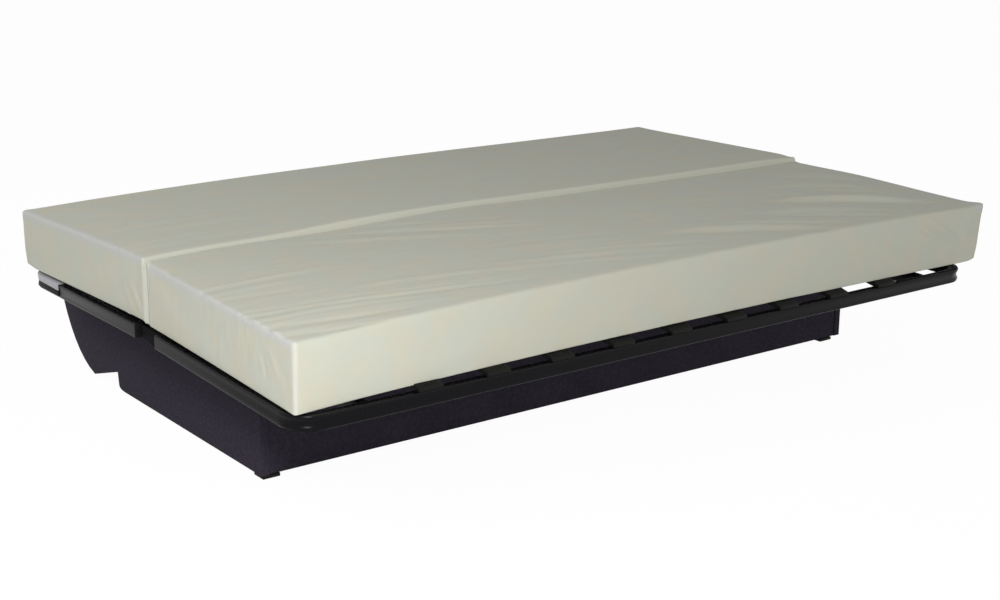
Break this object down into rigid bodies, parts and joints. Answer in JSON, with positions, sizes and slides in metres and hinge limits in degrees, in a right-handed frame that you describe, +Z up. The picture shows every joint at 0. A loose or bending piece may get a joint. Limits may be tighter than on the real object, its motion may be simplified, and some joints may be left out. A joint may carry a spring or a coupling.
{
  "type": "fold-flat sofa bed",
  "caption": "Fold-flat sofa bed lying open: slatted tube frames with foam mattress halves, carried by swinging links on a cloth-covered storage base.",
  "frame": {"origin": "middle of the footprint, on the floor", "axes": "+X along the bed's length, to the right when the seat's front edge is faced; +Y from the seat's front edge to the back; +Z up"},
  "size_m": [1.9108, 1.301, 0.4116],
  "materials": {
    "base_cloth": "mottled woven cloth",
    "cover_cloth": "thin wrinkled quilt cloth",
    "tube_paint": "satin powder coat",
    "black_steel": "matt black paint",
    "slat_wood": "dark laminated slat",
    "black_plastic": "matt",
    "grey_plastic": "satin",
    "zinc_steel": "zinc plated",
    "bare_board": "bare hardboard",
    "black_rubber": "matt"
  },
  "bodies": {
    "base": {"left_end_panel": "base_cloth", "foot_pad_front_left": "black_plastic", "foot_pad_rear_left": "black_plastic", "mechanism_plate_left": "zinc_steel", "seat_buffer_left": "black_rubber", "back_buffer_left": "black_rubber", "right_end_panel": "base_cloth", "foot_pad_front_right": "black_plastic", "foot_pad_rear_right": "black_plastic", "mechanism_plate_right": "zinc_steel", "seat_buffer_right": "black_rubber", "back_buffer_right": "black_rubber", "front_board": "base_cloth", "rear_board": "base_cloth", "bottom_board": "bare_board"},
    "seat": {"seat_bracket_left": "zinc_steel", "seat_bracket_right": "zinc_steel", "seat_frame_tube": "tube_paint", "seat_cross_rail": "tube_paint", "seat_inner_rail_left": "tube_paint", "seat_inner_rail_right": "tube_paint", "seat_slat_1": "slat_wood", "seat_slat_2": "slat_wood", "seat_slat_3": "slat_wood", "seat_slat_4": "slat_wood", "seat_slat_5": "slat_wood", "seat_slat_6": "slat_wood", "seat_slat_7": "slat_wood", "seat_slat_8": "slat_wood", "seat_slat_9": "slat_wood", "seat_side_plate_left": "black_steel", "seat_side_plate_right": "black_steel", "seat_mattress": "cover_cloth"},
    "back": {"back_bracket_left": "zinc_steel", "back_bracket_right": "zinc_steel", "back_frame_tube": "tube_paint", "back_cross_rail": "tube_paint", "back_inner_rail_left": "tube_paint", "back_inner_rail_right": "tube_paint", "back_slat_1": "slat_wood", "back_slat_2": "slat_wood", "back_slat_3": "slat_wood", "back_slat_4": "slat_wood", "back_slat_5": "slat_wood", "back_slat_6": "slat_wood", "back_slat_7": "slat_wood", "back_slat_8": "slat_wood", "back_slat_9": "slat_wood", "back_tube_plug_left": "black_plastic", "back_tube_plug_right": "black_plastic", "back_corner_guard_left": "grey_plastic", "back_corner_guard_right": "grey_plastic", "back_mattress": "cover_cloth"},
    "seat_link_left": {"seat_link_left": "zinc_steel"},
    "seat_link_right": {"seat_link_right": "zinc_steel"},
    "back_link_left": {"back_link_left": "zinc_steel"},
    "back_link_right": {"back_link_right": "zinc_steel"},
    "pawl_left": {"pawl_left": "zinc_steel"},
    "pawl_right": {"pawl_right": "zinc_steel"}
  },
  "joints": [
    {"name": "back_fold", "type": "hinge", "parent": "back_link_left", "child": "back", "pos_m": [-0.82025, -0.00654, 0.2445], "axis": [1, 0, 0], "range_deg": [0, 129.5]},
    {"name": "back_link_left_swing", "type": "hinge", "parent": "base", "child": "back_link_left", "pos_m": [-0.82025, 0.05434, 0.07723], "axis": [-1, 0, 0], "range_deg": [0, 59.6]},
    {"name": "back_link_right_swing", "type": "hinge", "parent": "base", "child": "back_link_right", "pos_m": [0.79115, 0.05434, 0.07723], "axis": [-1, 0, 0], "range_deg": [0, 59.6]},
    {"name": "seat_fold", "type": "hinge", "parent": "seat_link_left", "child": "seat", "pos_m": [-0.82025, -0.06054, 0.2445], "axis": [-1, 0, 0], "range_deg": [0, 92.5]},
    {"name": "seat_link_left_swing", "type": "hinge", "parent": "base", "child": "seat_link_left", "pos_m": [-0.82025, -0.12142, 0.07723], "axis": [1, 0, 0], "range_deg": [0, 42.6]},
    {"name": "seat_link_right_swing", "type": "hinge", "parent": "base", "child": "seat_link_right", "pos_m": [0.79115, -0.12142, 0.07723], "axis": [1, 0, 0], "range_deg": [0, 42.6]},
    {"name": "pawl_left_turn", "type": "hinge", "parent": "base", "child": "pawl_left", "pos_m": [-0.82025, 0.00826, 0.09957], "axis": [1, 0, 0], "range_deg": [0, 5.5]},
    {"name": "pawl_right_turn", "type": "hinge", "parent": "base", "child": "pawl_right", "pos_m": [0.79115, 0.00826, 0.09957], "axis": [1, 0, 0], "range_deg": [0, 5.5]}
  ],
  "couplings": [
    {"joint": "back_link_left_swing", "follows": "back_fold", "ratio": 0.45946},
    {"joint": "back_link_right_swing", "follows": "back_fold", "ratio": 0.45946},
    {"joint": "seat_link_left_swing", "follows": "seat_fold", "ratio": 0.45946},
    {"joint": "seat_link_right_swing", "follows": "seat_fold", "ratio": 0.45946}
  ]
}
